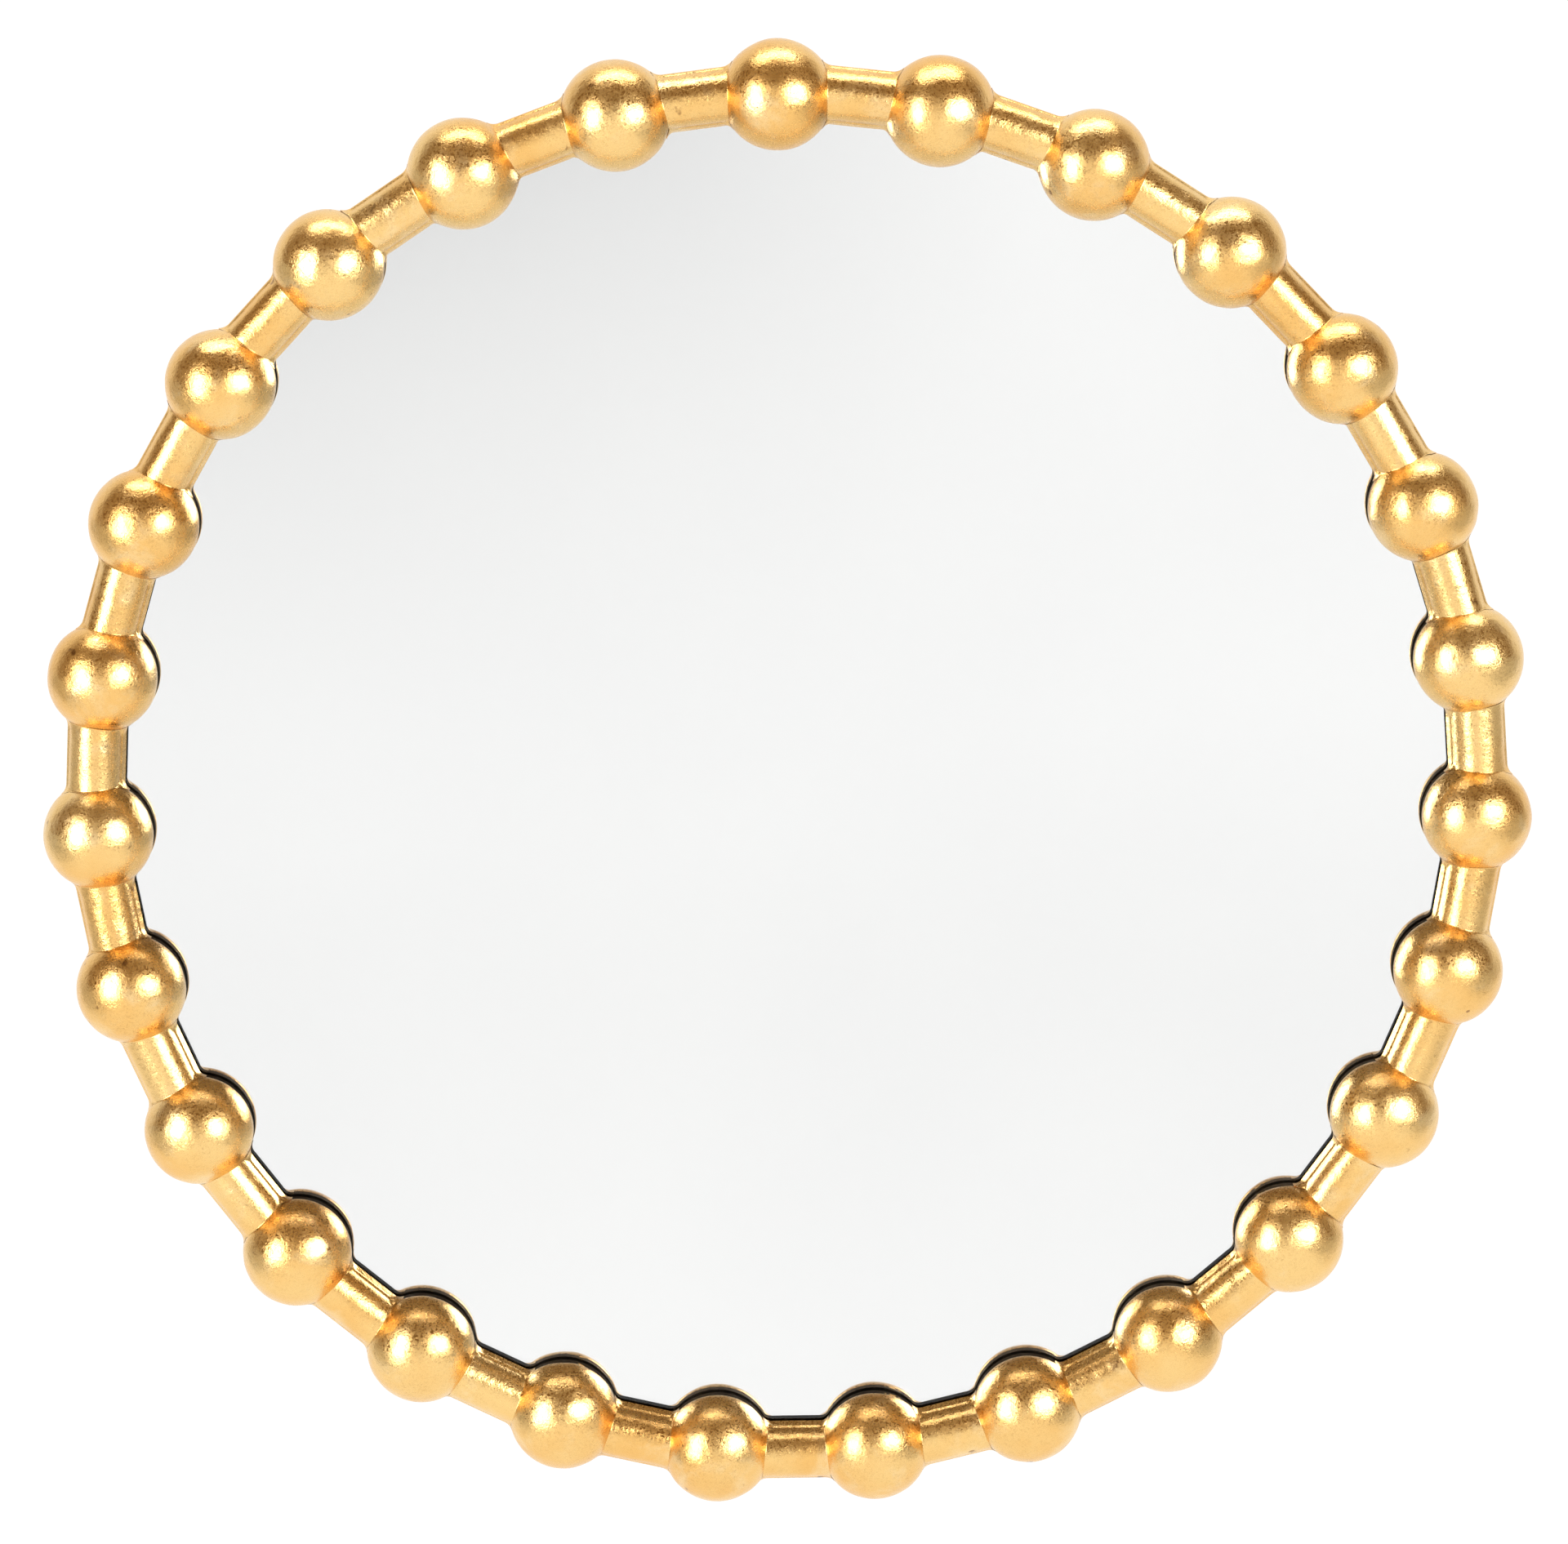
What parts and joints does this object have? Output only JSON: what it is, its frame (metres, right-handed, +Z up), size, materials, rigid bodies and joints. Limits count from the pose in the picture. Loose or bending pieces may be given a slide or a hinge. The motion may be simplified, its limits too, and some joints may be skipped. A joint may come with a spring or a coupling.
{
  "type": "round wall mirror",
  "caption": "Round flat wall mirror in a gold-leafed frame of half-round beads joined by half-round bars, with a dark backing ring and two recessed hanging rings.",
  "frame": {"origin": "centre of the ring, in the wall plane that the flat back rim of the backing ring rests on", "axes": "+Y into the wall, -Y the way the mirror looks, +Z up, +X to the viewer's right"},
  "size_m": [0.7096, 0.0454, 0.7084],
  "materials": {
    "gold_leaf_beads": "gold leaf over gesso, burnished satin",
    "gold_leaf_bars": "gold leaf over gesso, burnished satin",
    "black_painted_board": "matt black paint",
    "silvered_glass": "polished, silvered behind",
    "pad_foam": "matt foam sheet",
    "hardboard": "smooth hardboard",
    "zinc_steel": "zinc plated",
    "nickel_steel": "nickel plated"
  },
  "bodies": {
    "mirror_body": {"beads": "gold_leaf_beads", "link_bars": "gold_leaf_bars", "backing_ring": "black_painted_board", "mirror_glass": "silvered_glass", "glass_pad": "pad_foam", "back_board": "hardboard", "board_screws": "zinc_steel", "hanger_screws": "zinc_steel", "hanger_strap_left": "nickel_steel", "hanger_strap_right": "nickel_steel"},
    "left_ring": {"hanging_ring_left": "nickel_steel"},
    "right_ring": {"hanging_ring_right": "nickel_steel"}
  },
  "joints": [
    {"name": "left_ring_swing", "type": "hinge", "parent": "mirror_body", "child": "left_ring", "pos_m": [-0.29085, -0.0037, 0.13744], "axis": [0.9182, 0, -0.3961], "range_deg": [0, 180]},
    {"name": "right_ring_swing", "type": "hinge", "parent": "mirror_body", "child": "right_ring", "pos_m": [0.29085, -0.0037, 0.13744], "axis": [0.9182, 0, 0.3961], "range_deg": [0, 180]}
  ]
}
